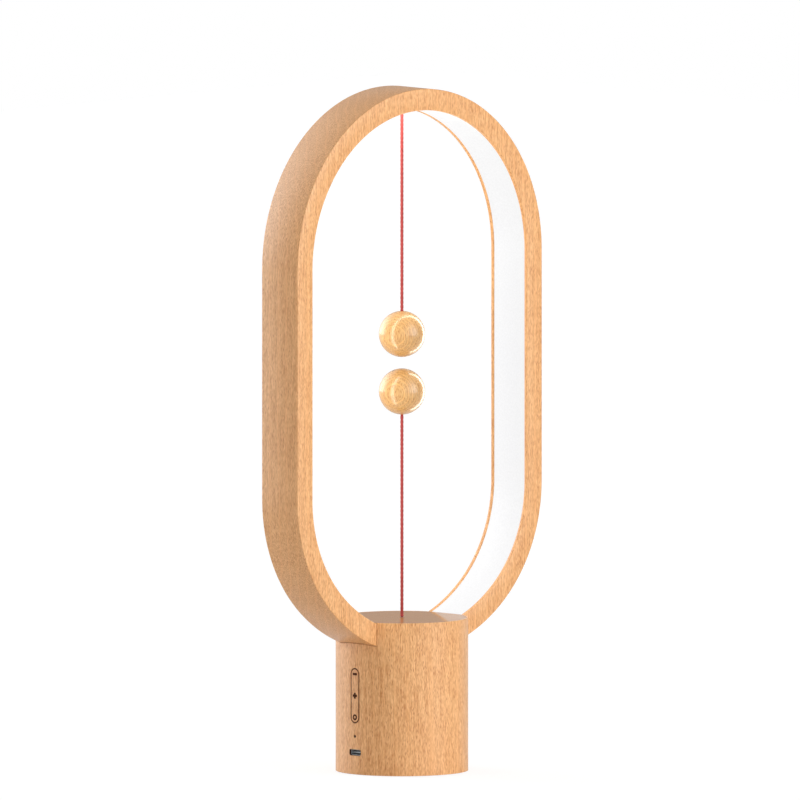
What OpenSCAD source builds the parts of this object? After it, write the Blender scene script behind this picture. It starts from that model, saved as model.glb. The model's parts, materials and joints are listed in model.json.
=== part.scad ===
// Magnetic balance lamp: an oval wooden ring with a light strip inside it, on a round wooden base.
// A wooden ball hangs from the top of the ring and another is tied to the base. When the lower ball
// is lifted under the upper one, the magnets in them hold it there, and its cord pulls the switch.
// The ring stands in the XZ plane. The controls are on the -X side of the base.

/* [Ring] */
// Width of the ring
ring_w = 200.7; // [185:0.1:220]
// Length of the ring's straight sides
ring_straight = 135; // [115:1:160]
// How far the centres of the lower corner arcs stand off the middle
corner_shift = 8.85; // [8:0.05:11]
// How much flatter than a half circle the lower end is
ring_flat = 5.55; // [4.5:0.05:6.5]
// Thickness of the ring's wood
ring_wall = 12.5; // [11.8:0.1:15]
// Depth of the ring from front to back
ring_depth = 29.7; // [27:0.1:33]
// Depth to which the ring sits in the base
ring_sink = 19.95; // [18.5:0.05:22]

/* [Light] */
// Lip of wood in front of and behind the light
lip = 2.1; // [1.6:0.1:3]
// Wood left behind the light groove
groove_back = 4; // [3.6:0.1:4.6]
// Thickness of the diffuser's face
diffuser_face = 2; // [1.2:0.1:2.4]
// Thickness of the diffuser's sides
diffuser_side = 1.2; // [0.8:0.1:1.8]
// How far the diffuser's face lies below the wood
diffuser_recess = 0.3; // [0.2:0.05:0.6]
// Width of the light strip
strip_w = 10; // [8:0.5:12]
// Thickness of the light strip
strip_t = 0.4; // [0.3:0.05:0.6]
// Pitch of the light strip's chips
chip_pitch = 16.6; // [12:0.1:25]
// Length of a chip along the strip
chip_l = 2.8; // [2:0.1:4]
// Width of a chip
chip_w = 3.5; // [2.5:0.1:5]
// Height of a chip
chip_t = 0.8; // [0.6:0.1:1.2]

/* [Base] */
// Diameter of the base
base_d = 77.3; // [75:0.1:90]
// Height of the base
base_h = 89.8; // [87:0.1:100]
// How far the wood stands above the table
base_lift = 0.3; // [0.2:0.05:0.6]
// Wall of the base round its cavity
base_wall = 7.65; // [7:0.05:9]
// Wood left between the cavity and the ring
web_t = 7.85; // [7:0.05:9]
// Rim of wood round the top disc
rim = 0.8; // [0.6:0.1:1.5]
// Thickness of the top disc
disc_t = 2; // [1.5:0.1:2.5]
// Thickness of the bottom cover
cover_t = 3; // [2.6:0.1:4]
// Width of the ledge that the bottom cover rests on
ledge_w = 4.8; // [4.6:0.1:5.2]
// Thickness of the foot pad
pad_t = 1.2; // [1:0.1:2]
// Gap between the foot pad's edge and the base's
pad_inset = 3.9; // [3.2:0.1:6]
// Thickness of the steel ballast
ballast_t = 4; // [3:0.1:5]
// Gap between the ballast and the cavity's wall
ballast_gap = 1.5; // [0.5:0.1:3]

/* [Balls and cords] */
// Diameter of a ball
ball_d = 27; // [24:0.1:29]
// Height of the upper ball's centre
upper_ball_z = 255.7; // [240:0.1:300]
// Gap between the balls when the magnets hold them
ball_gap = 6.7; // [4:0.1:10]
// Diameter of the cords
cord_d = 2; // [1.6:0.1:2.2]
// Diameter of a magnet
magnet_d = 8; // [6:0.1:10]
// Thickness of a magnet
magnet_t = 5; // [3:0.1:6]
// Length of the wooden plug over a magnet
plug_l = 4; // [3:0.1:5]
// Diameter of a cord's knot
knot_d = 4.2; // [3.8:0.1:4.8]

/* [Controls] */
// Width of the key
key_w = 6.7; // [6.4:0.1:8]
// Height of the key
key_h = 31.9; // [31:0.1:36]
// Distance from the base's top down to the key's centre
key_drop = 43.4; // [42:0.1:46]
// Gap round the key
key_gap = 0.3; // [0.2:0.05:0.4]
// Thickness of the key's wood at its middle
key_t = 3.05; // [2.5:0.05:3.6]
// Pitch of the marks and of the push switches behind them
mark_pitch = 12.65; // [12:0.05:13]
// Wood left in front of the controls
control_wall = 5.05; // [4.8:0.05:6]
// Diameter of the indicator light
indicator_d = 1.5; // [1:0.1:1.7]
// Height of the charging port's centre
port_z = 13.1; // [12.5:0.1:14]
// Width of the port's metal shell
port_w = 8.94; // [8.8:0.02:9.1]
// Height of the port's metal shell
port_h = 3.26; // [3.1:0.02:3.4]
// Gap between the port's shell and the wood
port_gap = 0.2; // [0.15:0.05:0.4]
// Width of the control board
board_w = 20; // [19:0.1:22]
// Thickness of the control board
board_t = 1.6; // [1.2:0.1:2]
// Length of the standoffs between the wood and the board
standoff_l = 7.8; // [7.6:0.1:8.4]

/* [Switch] */
// Distance of the lever's pin from the cord
lever_arm = 17; // [16:0.1:18]
// Thickness of the lever
lever_t = 1.4; // [1:0.1:2]
// Width of the lever
lever_w = 4.8; // [4.6:0.1:5]
// Diameter of the lever's pin
pin_d = 2; // [1.6:0.1:2.4]
// Length of the microswitch
micro_l = 12.8; // [12:0.1:13]
// Width of the microswitch
micro_w = 5.8; // [5.4:0.1:6]
// Height of the microswitch
micro_h = 6.5; // [6:0.1:7]
// Mean diameter of the return spring
spring_d = 3.9; // [3.6:0.1:4.2]
// Diameter of the return spring's wire
spring_wire = 0.5; // [0.4:0.05:0.6]

/* [Battery] */
// Width of the battery
battery_w = 28; // [24:0.5:30]
// Height of the battery
battery_h = 10; // [8:0.5:12]
// Gap between the battery's corners and the cavity's wall
battery_gap = 4; // [1:0.5:6]
// Room for the leads between the battery and the board's sockets
battery_room = 3.8; // [3:0.1:6]

/* [Fits] */
// Gap round a piece that is pushed or glued into another
fit = 0.15; // [0.1:0.01:0.2]
// Gap round a pin that turns, and round a ball joint of the cord
run_fit = 0.05; // [0.03:0.01:0.08]
// Gap between faces that rest on each other
seat = 0.05; // [0.02:0.01:0.1]
// Gap round a cord in its hole
cord_fit = 0.3; // [0.15:0.05:0.4]

/* [Hidden] */
$fn = 72;
cut = 1;

ring_r = ring_w / 2;
corner_r = ring_r - corner_shift;
bottom_rise = (pow(corner_shift, 2) - pow(corner_shift - ring_flat, 2)) / (2 * (corner_shift - ring_flat));
bottom_r = ring_r - ring_flat + bottom_rise;
ring_bottom = base_h - ring_sink;
corner_z = ring_bottom + ring_r - ring_flat;
crown_z = corner_z + ring_straight;
lamp_h = crown_z + ring_r;

groove_w = ring_depth - 2 * lip;
strip_in = groove_back + seat;
face_in = ring_wall - diffuser_recess;

base_r = base_d / 2;
cavity_r = base_r - base_wall;
ceiling = ring_bottom - web_t;
disc_r = base_r - rim;
ledge_r = cavity_r + ledge_w;
cover_top = pad_t + cover_t;
tape_t = 1;
battery_bottom = cover_top + seat + ballast_t + tape_t;
wire_d = 1;
wire_hole_d = 3.8;
wire_x = cavity_r - 2.5;
groove_end = wire_x - wire_hole_d / 2;

cord_r = cord_d / 2;
cord_hole_r = cord_r + cord_fit;
ball_r = ball_d / 2;
lower_ball_z = upper_ball_z - ball_d - ball_gap;
upper_pivot_z = lamp_h - face_in - cord_r - seat;
lower_pivot_z = base_h + cord_r + seat;
bore_top = 1.5;

// Outer and inner edges of the cord anchor's feet, and its plate
anchor_out = 13;
anchor_in = 6;
anchor_t = 1;
anchor_w = 10;
anchor_drop = 2.6;
anchor_top = crown_z + sqrt(pow(ring_r - groove_back, 2) - pow(anchor_out, 2)) - seat;
anchor_span_top = anchor_top - anchor_drop;
anchor_screw_x = (anchor_out + anchor_in) / 2;
anchor_screw_d = 2;
anchor_screw_up = 3;
anchor_head_d = 3.6;
anchor_head_t = 1.3;
knot_room_d = knot_d + 1.4;
knot_room_top = anchor_span_top + knot_d + 0.7;

ring_screw_x = 14;
ring_screw_d = 3;
ring_screw_head_d = 5.6;
ring_screw_head_t = 2.2;
ring_screw_bite = 10;

guide_d = 4.8;
guide_flange_d = 5.7;
guide_flange_t = 1.2;
guide_top = base_h - disc_t - seat;

cover_screw_r = cavity_r + 2.2;
cover_screw_d = 2.2;
cover_head_d = 4;
cover_head_t = 1.6;
cover_screw_up = 9;

// Controls, measured along +X before they are turned to the -X side
key_z = base_h - key_drop;
indicator_z = (port_z + port_h / 2 + key_z - key_h / 2) / 2;
pocket_x = base_r - control_wall;
pocket_w = board_w + 1.2;
pocket_bottom = cover_top + 3;
pocket_top = key_z + key_h / 2 + 4.6;
pocket_depth = 13.6;
flange_w = key_w + 2.7;
flange_h = key_h + 2.7;
flange_t = 1;
flange_gap = 0.4;
flange_x = pocket_x - flange_gap - flange_t;
crown_t = 0.35;
mat_t = 0.6;
mat_x = flange_x - seat - crown_t - mat_t;
key_travel = 0.35;
board_front = pocket_x - standoff_l;
board_back = board_front - board_t;
board_bottom = cover_top + ballast_t + 0.5;
board_top = pocket_top - 1;
push_side = 6;
push_t = 3.4;
plunger_t = 0.7;
plunger_d = 3.4;
plunger_x = board_front + push_t + plunger_t;
pip_x = plunger_x + key_travel + 0.1;
pip_d = 2.8;
standoff_d = 3.8;
standoff_y = 7.6;
standoff_low_z = board_bottom + 4;
standoff_high_z = board_top - 3.5;
board_screw_d = 2.2;
board_head_d = 3.8;
board_head_t = 1.4;
board_screw_bite = 3;
port_recess = 1.2;
port_wall = 0.3;
port_round = 1.1;
tongue_w = 6.7;
tongue_t = 0.7;
tongue_recess = 1;
led_t = 0.9;
lens_collar_d = 3;
lens_collar_t = 1;
socket_t = 5.4;
socket_x = socket_t - board_back;
// Leads run level for a way before their socket. Those of the right strip bow round the switch.
lead_in = 3;
lead_apart = 1.6;
lead_step = 2;
lead_bow_x = 9;
lead_bow_y = 12.5;
lead_fall = 4;
battery_socket_w = 6;
battery_socket_h = 4.5;
battery_socket_z = battery_bottom + battery_h + 0.7;
lead_socket_w = 6.4;
lead_socket_h = 9;
lead_socket_y = 6.6;
lead_socket_z = key_z + 1.6;
controller_side = 5;
controller_t = 1;
controller_y = -4;
controller_drop = 8;
controller_z = key_z - controller_drop;
power_coil_side = 6;
power_coil_t = 3;
power_coil_y = -6.4;
power_coil_drop = 18;
power_coil_z = key_z - power_coil_drop;
power_coil_core_d = 3.4;

// Switch, measured down from the cavity's ceiling
bracket_t = 1;
bracket_y = micro_w / 2 + seat;
bracket_d = 12;
bracket_left = 2.4;
bracket_right = lever_arm + 2.6;
lever_drop = 15;
lever_z = ceiling - lever_drop;
lever_top = lever_z + lever_t / 2;
lever_end = 3.2;
boss_d = pin_d + 2.4;
micro_x = 2.8;
micro_bottom = lever_top + 2.2;
button_x = micro_x + 3.6;
button_d = 1.2;
button_in = 1;
micro_hole_z = micro_bottom + 2.3;
micro_hole_pitch = 6.5;
micro_screw_d = 2;
micro_head_d = 3.6;
micro_head_t = 1.2;
terminal_l = 2.6;
terminal_in = 1.8;
stop_d = 4.2;
stop_l = 3.4;
stop_top = lever_z - lever_t / 2 - 0.1;
bracket_screw_d = 2.5;
bracket_head_d = 4.4;
bracket_head_t = 1.6;
bracket_screw_up = 5;
bracket_screw_y = bracket_y + bracket_d * 0.6;
spring_turns = 6;

battery_end = battery_room + socket_x;
battery_l = sqrt(pow(cavity_r - battery_gap, 2) - pow(battery_w / 2, 2)) - battery_end;

// Outline of the ring, drawn in by an inset. Its height runs along Y.
module oval(inset) {
    $fn = 300;
    far = 3 * ring_r;
    translate([0, crown_z]) circle(r = ring_r - inset);
    translate([inset - ring_r, corner_z]) square([2 * (ring_r - inset), ring_straight]);
    intersection() {
        union() {
            for (side = [-1, 1]) {
                translate([side * corner_shift, corner_z]) circle(r = corner_r - inset);
            }
            intersection() {
                translate([0, corner_z + bottom_rise]) circle(r = bottom_r - inset);
                polygon([
                    [0, corner_z + bottom_rise],
                    [-far * corner_shift, corner_z + bottom_rise - far * bottom_rise],
                    [far * corner_shift, corner_z + bottom_rise - far * bottom_rise]
                ]);
            }
        }
        translate([-far, corner_z - far]) square([2 * far, far]);
    }
}

// The outline as a slab that stands in the XZ plane
module oval_slab(inset, depth) {
    rotate([90, 0, 0]) translate([0, 0, -depth / 2]) linear_extrude(depth) oval(inset);
}

// What lies between two insets of the outline
module oval_band(outer_inset, inner_inset, depth) {
    difference() {
        oval_slab(outer_inset, depth);
        oval_slab(inner_inset, depth + 2 * cut);
    }
}

// The part of the oval that is inside the base and has no groove
module groove_stop(half_w) {
    translate([-half_w, -ring_depth, 0]) cube([2 * half_w, 2 * ring_depth, base_h + cut]);
}

module upright(d, bottom, top) {
    translate([0, 0, bottom]) cylinder(d = d, h = top - bottom);
}

// A rod along X, between two distances from the axis
module along_x(d, from, to) {
    translate([from, 0, 0]) rotate([0, 90, 0]) cylinder(d = d, h = to - from);
}

module along_y(d, from, to) {
    translate([0, from, 0]) rotate([-90, 0, 0]) cylinder(d = d, h = to - from);
}

// Direction from one point of a route to the next
function heading(points, i) = (points[i + 1] - points[i]) / norm(points[i + 1] - points[i]);

// The plane in which a wire turns from one run to the next, given by its normal
function mitre(points, i) =
    i == 0 ? heading(points, 0)
    : i == len(points) - 1 ? heading(points, i - 1)
    : heading(points, i - 1) + heading(points, i);

// A ring of points carried along a run to the plane at the run's end
function carried(ring, along, to, normal) = [
    for (p = ring) p + along * ((to - p) * normal) / (along * normal)
];

function wire_rings(points, ring, i = 0) =
    i == len(points) - 1 ? [ring]
    : concat([ring], wire_rings(
        points, carried(ring, heading(points, i), points[i + 1], mitre(points, i + 1)), i + 1));

// A thin wire along a route, with mitred corners
module wire(route) {
    sides = 8;
    start = heading(route, 0);
    u = cross(start, [0.2, 0.9, 0.4]) / norm(cross(start, [0.2, 0.9, 0.4]));
    v = cross(start, u);
    first = [
        for (k = [0 : sides - 1])
            route[0] + wire_d / 2 * (u * cos(360 * k / sides) + v * sin(360 * k / sides))
    ];
    tube(wire_rings(route, first));
}

// A closed solid through rings of points
module tube(rings) {
    sides = len(rings[0]);
    last = len(rings) - 1;
    walls = [
        for (i = [0 : last - 1], k = [0 : sides - 1])
            let (a = i * sides + k, b = i * sides + (k + 1) % sides)
                each [[a, b + sides, b], [a, a + sides, b + sides]]
    ];
    ends = [
        for (k = [1 : sides - 2])
            each [[0, k, k + 1], [last * sides, last * sides + k + 1, last * sides + k]]
    ];
    polyhedron([for (ring = rings) each ring], concat(walls, ends));
}

// Everything on the control side is drawn towards +X and turned round to -X
module control_side() {
    rotate([0, 0, 180]) children();
}

module oblong_2d(w, h) {
    for (end = [-1, 1]) {
        translate([0, end * (h - w) / 2]) circle(d = w);
    }
    square([w, h - w], center = true);
}

module rounded_2d(w, h, r) {
    square([w - 2 * r, h], center = true);
    square([w, h - 2 * r], center = true);
    for (x = [-1, 1], y = [-1, 1]) {
        translate([x * (w / 2 - r), y * (h / 2 - r)]) circle(r = r);
    }
}

// Turns a flat outline upright, facing +X, and makes it as thick as from one distance to another
module facing_x(z, from, to) {
    translate([from, 0, z]) rotate([90, 0, 90]) linear_extrude(to - from) children();
}

module ring_screw_places() {
    for (side = [-1, 1]) {
        translate([side * ring_screw_x, 0, 0]) children();
    }
}

module anchor_screw_places() {
    for (side = [-1, 1]) {
        translate([side * anchor_screw_x, 0, 0]) children();
    }
}

module cover_screw_places() {
    for (angle = [45 : 90 : 315]) {
        rotate([0, 0, angle]) translate([cover_screw_r, 0, 0]) children();
    }
}

module standoff_places() {
    for (y = [-standoff_y, standoff_y], z = [standoff_low_z, standoff_high_z]) {
        translate([0, y, z]) children();
    }
}

module bracket_screw_places() {
    for (x = [bracket_left + 3.2, bracket_right - 3.2]) {
        translate([x, bracket_screw_y, 0]) children();
    }
}

module micro_hole_places() {
    for (side = [-1, 1]) {
        translate([micro_x + micro_l / 2 + side * micro_hole_pitch / 2, 0, micro_hole_z]) children();
    }
}

module wire_hole_places() {
    for (side = [-1, 1]) {
        translate([side * wire_x, 0, 0]) children();
    }
}

module base_shell() {
    color("burlywood") difference() {
        upright(base_d, base_lift, base_h);
        upright(2 * cavity_r, -cut, ceiling);
        upright(2 * ledge_r, -cut, cover_top);
        upright(2 * disc_r, base_h - disc_t, base_h + cut);
        oval_slab(-fit, ring_depth + 2 * fit);
        upright(guide_d + 2 * fit, ceiling - cut, base_h);
        ring_screw_places() upright(ring_screw_d + 2 * fit, ceiling - cut, base_h);
        wire_hole_places() upright(wire_hole_d, ceiling - cut, base_h);
        bracket_screw_places() upright(bracket_screw_d, ceiling - cut, ceiling + bracket_screw_up + seat);
        cover_screw_places() upright(cover_screw_d + 2 * seat, 0, cover_top + cover_screw_up + seat);
        control_side() {
            translate([pocket_x - pocket_depth, -pocket_w / 2, pocket_bottom])
                cube([pocket_depth, pocket_w, pocket_top - pocket_bottom]);
            facing_x(key_z, pocket_x - cut, base_r + cut) oblong_2d(key_w + 2 * key_gap, key_h + 2 * key_gap);
            facing_x(port_z, pocket_x - cut, base_r + cut)
                rounded_2d(port_w + 2 * port_gap, port_h + 2 * port_gap, port_round);
            translate([0, 0, indicator_z]) along_x(indicator_d + 2 * fit, pocket_x - cut, base_r + cut);
            standoff_places()
                along_x(board_screw_d + 2 * seat, pocket_x - cut, pocket_x + board_screw_bite + seat);
        }
    }
}

// Fills the mouth of the ring's slot under the top disc
module slot_filler() {
    color("peru") difference() {
        intersection() {
            oval_slab(ring_wall + fit, ring_depth);
            upright(2 * disc_r, ring_bottom, base_h - disc_t - seat);
        }
        upright(guide_d + 2 * fit, ring_bottom, base_h);
    }
}

module top_disc() {
    color("rosybrown") difference() {
        upright(2 * (disc_r - fit), base_h - disc_t, base_h);
        oval_band(-fit, ring_wall + fit, ring_depth + 2 * fit);
        upright(2 * cord_hole_r, base_h - disc_t - cut, base_h + cut);
    }
}

// Tube that leads the lower cord through the wood into the cavity
module cord_guide() {
    color("ivory") difference() {
        union() {
            upright(guide_d, ceiling - seat, guide_top);
            upright(guide_flange_d, ceiling - seat - guide_flange_t, ceiling - seat);
        }
        upright(2 * cord_hole_r, ceiling - guide_flange_t - cut, base_h);
    }
}

module ring_frame() {
    color("burlywood") difference() {
        oval_band(0, ring_wall, ring_depth);
        difference() {
            oval_slab(groove_back, groove_w);
            groove_stop(groove_end);
        }
        upright(knot_room_d, lamp_h - ring_wall, knot_room_top);
        anchor_screw_places()
            upright(anchor_screw_d + 2 * seat, anchor_top - cut, anchor_top + anchor_screw_up + seat);
        upright(guide_d + 2 * fit, ring_bottom - cut, base_h);
        ring_screw_places() upright(ring_screw_d + 2 * seat, 0, ring_bottom + ring_screw_bite + seat);
        wire_hole_places() upright(wire_hole_d, 0, ring_bottom + ring_wall);
    }
}

module cross_slot(d, bottom) {
    for (angle = [0, 90]) {
        rotate([0, 0, angle]) translate([-d * 0.3, -d * 0.06, bottom - cut])
            cube([d * 0.6, d * 0.12, cut + d * 0.15]);
    }
}

// A pan-head screw that points up, with its head's underside facing down
module screw_up(d, head_d, head_t, seat_z, tip_z) {
    difference() {
        union() {
            upright(d, seat_z - head_t, tip_z);
            upright(head_d, seat_z - head_t, seat_z);
        }
        translate([0, 0, seat_z - head_t]) cross_slot(head_d, 0);
    }
}

module ring_screws() {
    color("silver") ring_screw_places()
        screw_up(ring_screw_d, ring_screw_head_d, ring_screw_head_t,
            ceiling - seat, ring_bottom + ring_screw_bite);
}

module light_diffuser() {
    color("white") difference() {
        oval_band(groove_back + fit, face_in, groove_w - 2 * fit);
        oval_band(groove_back, face_in - diffuser_face, groove_w - 2 * fit - 2 * diffuser_side);
        groove_stop(groove_end + fit);
        upright(2 * cord_hole_r, crown_z, lamp_h - cut);
    }
}

// One strip on each side, from the cord anchor down to the wire hole in the base
module led_strips() {
    color("gainsboro") difference() {
        oval_band(strip_in, strip_in + strip_t, strip_w);
        groove_stop(wire_x + wire_hole_d / 2);
        translate([-anchor_out - 1, -strip_w, crown_z]) cube([2 * anchor_out + 2, 2 * strip_w, ring_r]);
    }
}

// Lengths of the strip's curves, along which the chips are spaced from the top
chip_in = strip_in + strip_t + seat;
crown_len = (ring_r - chip_in) * PI / 2;
corner_turn = atan2(bottom_rise, corner_shift);
corner_len = (corner_r - chip_in) * corner_turn * PI / 180;
bottom_turn = acos((wire_x + wire_hole_d) / (bottom_r - chip_in)) - corner_turn;
bottom_len = (bottom_r - chip_in) * bottom_turn * PI / 180;
chips_from = anchor_out + chip_pitch / 2;
chips_to = crown_len + ring_straight + corner_len + bottom_len;

// Puts its child on the strip at a distance from the top, with +Z towards the middle of the ring
module on_strip(s) {
    past_crown = s - crown_len;
    past_straight = past_crown - ring_straight;
    past_corner = past_straight - corner_len;
    if (past_crown < 0) {
        translate([0, 0, crown_z]) rotate([0, s / crown_len * 90, 0])
            translate([0, 0, ring_r - chip_in]) rotate([180, 0, 0]) children();
    } else if (past_straight < 0) {
        translate([ring_r - chip_in, 0, crown_z - past_crown]) rotate([0, -90, 0]) children();
    } else if (past_corner < 0) {
        translate([corner_shift, 0, corner_z]) rotate([0, past_straight / corner_len * corner_turn, 0])
            translate([corner_r - chip_in, 0, 0]) rotate([0, -90, 0]) children();
    } else {
        translate([0, 0, corner_z + bottom_rise])
            rotate([0, corner_turn + past_corner / bottom_len * bottom_turn, 0])
                translate([bottom_r - chip_in, 0, 0]) rotate([0, -90, 0]) children();
    }
}

module led_chips() {
    color("khaki") for (side = [0, 1]) mirror([side, 0, 0]) {
        for (s = [chips_from : chip_pitch : chips_to]) {
            on_strip(s) translate([-chip_l / 2, -chip_w / 2, 0]) cube([chip_l, chip_w, chip_t]);
        }
    }
}

// Leads of the left strip drop straight to the board. Those of the right one cross the cavity.
module led_leads() {
    strip_z = corner_z + bottom_rise - sqrt(pow(bottom_r - groove_back, 2) - pow(wire_x, 2)) + 0.6;
    color("crimson") for (i = [0, 1]) {
        y = lead_apart * (i - 0.5);
        drop = lead_step * i;
        control_side() wire([
            [wire_x, y, strip_z],
            [wire_x, y, board_top - lead_apart],
            [board_front, y, board_top - lead_apart]
        ]);
        wire([
            [wire_x, y, strip_z],
            [wire_x, y, lead_socket_z + 2 * lead_fall - drop],
            [wire_x - lead_bow_x, -lead_bow_y, lead_socket_z + lead_fall - drop],
            [socket_x + 2 * lead_in, -lead_bow_y, lead_socket_z - drop],
            [socket_x + lead_in, -lead_socket_y - lead_step / 2, lead_socket_z - lead_step / 2 - drop],
            [socket_x, -lead_socket_y - lead_step / 2, lead_socket_z - lead_step / 2 - drop]
        ]);
    }
}

// Steel bridge under the groove's floor that holds the knot of the upper cord
module cord_anchor() {
    color("silver") difference() {
        translate([-anchor_out, -anchor_w / 2, anchor_span_top - anchor_t])
            cube([2 * anchor_out, anchor_w, anchor_drop + anchor_t]);
        translate([anchor_t - anchor_in, -anchor_w, anchor_span_top])
            cube([2 * (anchor_in - anchor_t), 2 * anchor_w, anchor_drop + cut]);
        for (side = [0, 1]) mirror([side, 0, 0]) {
            translate([anchor_in, -anchor_w, anchor_span_top - anchor_t - cut])
                cube([anchor_out, 2 * anchor_w, anchor_drop + cut]);
        }
        upright(2 * cord_hole_r, anchor_span_top - 2 * anchor_t, anchor_top);
        anchor_screw_places() upright(anchor_screw_d + 2 * fit, anchor_span_top, anchor_top + cut);
    }
}

module anchor_screws() {
    color("silver") anchor_screw_places()
        screw_up(anchor_screw_d, anchor_head_d, anchor_head_t,
            anchor_top - anchor_t - seat, anchor_top + anchor_screw_up);
}

// The fixed end of the upper cord, from its knot to the diffuser's face
module upper_cord_end() {
    color("firebrick") {
        upright(cord_d, lamp_h - face_in, anchor_span_top + knot_d / 2);
        translate([0, 0, anchor_span_top + knot_d / 2 + seat]) sphere(d = knot_d);
    }
}

// The short length of a cord that bends, as a ball between its fixed and its swinging end
module upper_cord_bend() {
    color("firebrick") translate([0, 0, upper_pivot_z]) sphere(d = cord_d);
}

module upper_cord() {
    color("firebrick") difference() {
        union() {
            upright(cord_d, upper_ball_z, upper_pivot_z);
            translate([0, 0, upper_ball_z + bore_top - knot_d / 2 - seat]) sphere(d = knot_d);
        }
        translate([0, 0, upper_pivot_z]) sphere(r = cord_r + run_fit);
    }
}

// A ball with its magnet's bore open upwards and its cord's hole open downwards
module ball_up() {
    difference() {
        sphere(r = ball_r);
        upright(magnet_d + 2 * fit, -bore_top, ball_r + cut);
        upright(2 * cord_hole_r, -ball_r - cut, 0);
    }
}

module plug_up() {
    intersection() {
        sphere(r = ball_r);
        upright(magnet_d, ball_r - plug_l, ball_r + cut);
    }
}

module magnet_up() {
    upright(magnet_d, ball_r - plug_l - seat - magnet_t, ball_r - plug_l - seat);
}

module upper_place() {
    translate([0, 0, upper_ball_z]) mirror([0, 0, 1]) children();
}

module lower_place() {
    translate([0, 0, lower_ball_z]) children();
}

module upper_ball() {
    color("burlywood") upper_place() ball_up();
}

module upper_ball_plug() {
    color("tan") upper_place() plug_up();
}

module upper_magnet() {
    color("silver") upper_place() magnet_up();
}

module lower_cord_bend() {
    color("firebrick") translate([0, 0, lower_pivot_z]) sphere(d = cord_d);
}

module lower_cord() {
    color("firebrick") difference() {
        upright(cord_d, lower_pivot_z, lower_ball_z - bore_top);
        translate([0, 0, lower_pivot_z]) sphere(r = cord_r + run_fit);
    }
}

module lower_ball() {
    color("burlywood") lower_place() ball_up();
}

module lower_ball_plug() {
    color("tan") lower_place() plug_up();
}

module lower_magnet() {
    color("silver") lower_place() magnet_up();
}

module lower_ball_knot() {
    color("firebrick") lower_place() translate([0, 0, knot_d / 2 + seat - bore_top]) sphere(d = knot_d);
}

// The lower cord inside the base, from the top disc's face to below the lever
module switch_cord() {
    color("firebrick") upright(cord_d, stop_top - stop_l - 1, base_h);
}

module cord_stop() {
    color("goldenrod") difference() {
        upright(stop_d, stop_top - stop_l, stop_top);
        upright(cord_d + 2 * seat, stop_top - stop_l - cut, stop_top + cut);
    }
}

// A helix of round wire between two heights, as one unbroken tube with closed ends
module coil(mean_r, wire_r, bottom, top, turns, steps, sides) {
    climb = (top - bottom - 2 * wire_r) / (turns * steps);
    tube([
        for (i = [0 : turns * steps])
            let (turn = 360 * i / steps, low = bottom + wire_r + climb * i)
                [for (k = [0 : sides - 1])
                    let (r = mean_r + wire_r * cos(360 * k / sides))
                        [r * cos(turn), r * sin(turn), low + wire_r * sin(360 * k / sides)]]
    ]);
}

// Pushes the lever down when the lower ball lets the cord go
module return_spring() {
    color("dimgray")
        coil(spring_d / 2, spring_wire / 2, lever_top + seat,
            ceiling - guide_flange_t - 2 * seat, spring_turns, 16, 6);
}

// Folded steel plate under the ceiling that carries the microswitch and the lever's pin
module switch_bracket() {
    color("silver") difference() {
        union() {
            translate([bracket_left, bracket_y, lever_z - boss_d / 2])
                cube([bracket_right - bracket_left, bracket_t, ceiling - seat - lever_z + boss_d / 2]);
            translate([bracket_left, bracket_y, ceiling - seat - bracket_t])
                cube([bracket_right - bracket_left, bracket_d, bracket_t]);
        }
        bracket_screw_places() upright(bracket_screw_d + 2 * fit, ceiling - 3 * bracket_t, ceiling + cut);
        micro_hole_places() along_y(micro_screw_d + 2 * seat, 0, bracket_d);
        translate([lever_arm, 0, lever_z]) along_y(pin_d + 2 * seat, 0, bracket_d);
    }
}

module bracket_screws() {
    color("silver") bracket_screw_places()
        screw_up(bracket_screw_d - 2 * seat, bracket_head_d, bracket_head_t, ceiling - bracket_t - 2 * seat,
            ceiling + bracket_screw_up);
}

// The lever is forked round the cord and turns on its pin
module switch_lever() {
    color("ivory") translate([0, 0, lever_z]) difference() {
        union() {
            translate([-lever_end, -lever_w / 2, -lever_t / 2]) cube([lever_end + lever_arm, lever_w, lever_t]);
            translate([lever_arm, 0, 0]) along_y(boss_d, -lever_w / 2, lever_w / 2);
        }
        translate([lever_arm, 0, 0]) along_y(pin_d + 2 * run_fit, -lever_w, lever_w);
        upright(2 * cord_hole_r, -lever_t, lever_t);
        translate([-lever_end - cut, -cord_hole_r, -lever_t])
            cube([lever_end + cut, 2 * cord_hole_r, 2 * lever_t]);
    }
}

module lever_pin() {
    pin_head_d = pin_d + 1.4;
    pin_head_t = 0.8;
    color("silver") translate([lever_arm, 0, lever_z]) {
        along_y(pin_d, -lever_w / 2 - 0.2 - pin_head_t, bracket_y + bracket_t + 0.5);
        along_y(pin_head_d, -lever_w / 2 - 0.2 - pin_head_t, -lever_w / 2 - 0.2);
    }
}

module microswitch_body() {
    color("dimgray") difference() {
        translate([micro_x, -micro_w / 2, micro_bottom]) cube([micro_l, micro_w, micro_h]);
        micro_hole_places() along_y(micro_screw_d + 2 * seat, -micro_w, micro_w);
        translate([button_x, 0, 0])
            upright(button_d + 2 * run_fit, micro_bottom - cut, micro_bottom + button_in + seat);
    }
}

// The switch's button, held in by the lever while the lamp is on
module microswitch_button() {
    color("orangered") translate([button_x, 0, 0]) upright(button_d, lever_top + seat, micro_bottom + button_in);
}

module microswitch_terminals() {
    blade_w = 2.4;
    blade_t = 0.5;
    color("goldenrod") for (x = [terminal_in, micro_l / 2, micro_l - terminal_in]) {
        translate([micro_x + x - blade_t / 2, -blade_w / 2, micro_bottom + micro_h])
            cube([blade_t, blade_w, terminal_l]);
    }
}

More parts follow.
